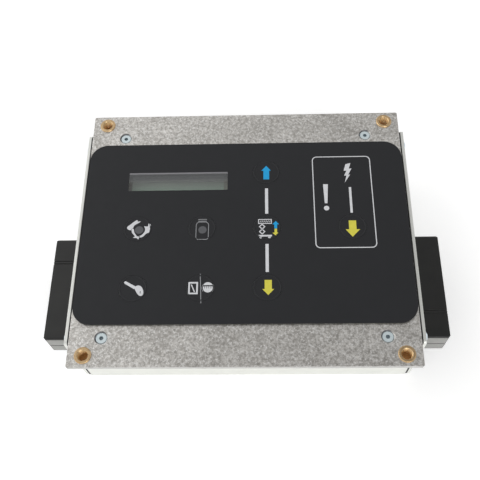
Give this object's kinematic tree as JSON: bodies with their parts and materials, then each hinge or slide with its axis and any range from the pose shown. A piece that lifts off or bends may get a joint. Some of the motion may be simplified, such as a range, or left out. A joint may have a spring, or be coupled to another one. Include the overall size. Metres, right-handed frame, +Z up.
{
  "type": "electronic control unit",
  "caption": "Shallow aluminium control box with a wide flanged face plate, membrane keypad, display window, threaded corner inserts and a plug header at each end.",
  "frame": {"origin": "centre of the underside, under the middle of the whole unit", "axes": "+X to the right along the headers, +Y to the back of the face plate, +Z up out of the keypad"},
  "size_m": [0.2788, 0.198, 0.0715],
  "materials": {
    "box_aluminium": "satin, bright",
    "plate_aluminium": "tumbled, mottled",
    "insert_brass": "turned",
    "zinc_steel": "bright zinc plate",
    "overlay_film": "fine matt print film",
    "key_film": "fine matt print film, embossed",
    "clear_window": "clear",
    "layer_film": "milky polyester",
    "circuit_film": "printed polyester",
    "contact_metal": "plated",
    "gasket_rubber": "matt",
    "header_plastic": "moulded, satin",
    "pin_metal": "tin plated",
    "display_frame": "black",
    "display_glass": "grey green, polarised",
    "light_guide": "white",
    "green_board": "solder mask",
    "plain_steel": "plated",
    "white_plastic": "moulded",
    "black_plastic": "moulded",
    "ribbon_plastic": "flat cable",
    "tail_film": "flexible circuit film",
    "capacitor_sleeve": "shrunk sleeve",
    "bar_aluminium": "extruded"
  },
  "bodies": {
    "root": {"housing": "box_aluminium", "face_plate": "plate_aluminium", "threaded_inserts": "insert_brass", "cover_screws": "zinc_steel", "left_end_panel": "box_aluminium", "right_end_panel": "box_aluminium", "left_end_gasket": "gasket_rubber", "right_end_gasket": "gasket_rubber", "end_panel_screws": "zinc_steel", "left_header_shell": "header_plastic", "right_header_shell": "header_plastic", "left_header_seal": "gasket_rubber", "right_header_seal": "gasket_rubber", "left_header_pins": "pin_metal", "right_header_pins": "pin_metal", "panel_overlay": "overlay_film", "display_window": "clear_window", "keypad_spacer": "layer_film", "keypad_circuit": "circuit_film", "keypad_tail": "tail_film", "display_foam": "gasket_rubber", "display_bezel": "display_frame", "display_glass": "display_glass", "display_backlight": "light_guide", "display_board": "green_board", "display_studs": "plain_steel", "display_spacers": "white_plastic", "display_nuts": "plain_steel", "display_ribbon": "ribbon_plastic", "ribbon_sockets": "black_plastic", "tail_socket": "white_plastic", "main_board": "green_board", "board_standoffs": "plain_steel", "board_screws": "plain_steel", "processor": "black_plastic", "driver_chips": "black_plastic", "power_transistors": "black_plastic", "transistor_screws": "plain_steel", "heat_bar": "bar_aluminium", "heat_bar_screws": "plain_steel", "capacitors": "capacitor_sleeve", "relays": "black_plastic"},
    "speed_key": {"key_speed": "key_film", "contact_speed": "contact_metal"},
    "fuel_key": {"key_fuel": "key_film", "contact_fuel": "contact_metal"},
    "start_key": {"key_start": "key_film", "contact_start": "contact_metal"},
    "glow_key": {"key_glow": "key_film", "contact_glow": "contact_metal"},
    "up_key": {"key_up": "key_film", "contact_up": "contact_metal"},
    "enable_key": {"key_enable": "key_film", "contact_enable": "contact_metal"},
    "down_key": {"key_down": "key_film", "contact_down": "contact_metal"},
    "aux_key": {"key_aux": "key_film", "contact_aux": "contact_metal"}
  },
  "joints": [
    {"name": "press_speed", "type": "slide", "parent": "root", "child": "speed_key", "axis": [0, 0, -1], "range_m": [0, 0.0004], "stiffness_N_per_m": 7500},
    {"name": "press_fuel", "type": "slide", "parent": "root", "child": "fuel_key", "axis": [0, 0, -1], "range_m": [0, 0.0004], "stiffness_N_per_m": 7500},
    {"name": "press_start", "type": "slide", "parent": "root", "child": "start_key", "axis": [0, 0, -1], "range_m": [0, 0.0004], "stiffness_N_per_m": 7500},
    {"name": "press_glow", "type": "slide", "parent": "root", "child": "glow_key", "axis": [0, 0, -1], "range_m": [0, 0.0004], "stiffness_N_per_m": 7500},
    {"name": "press_up", "type": "slide", "parent": "root", "child": "up_key", "axis": [0, 0, -1], "range_m": [0, 0.0004], "stiffness_N_per_m": 7500},
    {"name": "press_enable", "type": "slide", "parent": "root", "child": "enable_key", "axis": [0, 0, -1], "range_m": [0, 0.0004], "stiffness_N_per_m": 7500},
    {"name": "press_down", "type": "slide", "parent": "root", "child": "down_key", "axis": [0, 0, -1], "range_m": [0, 0.0004], "stiffness_N_per_m": 7500},
    {"name": "press_aux", "type": "slide", "parent": "root", "child": "aux_key", "axis": [0, 0, -1], "range_m": [0, 0.0004], "stiffness_N_per_m": 7500}
  ]
}
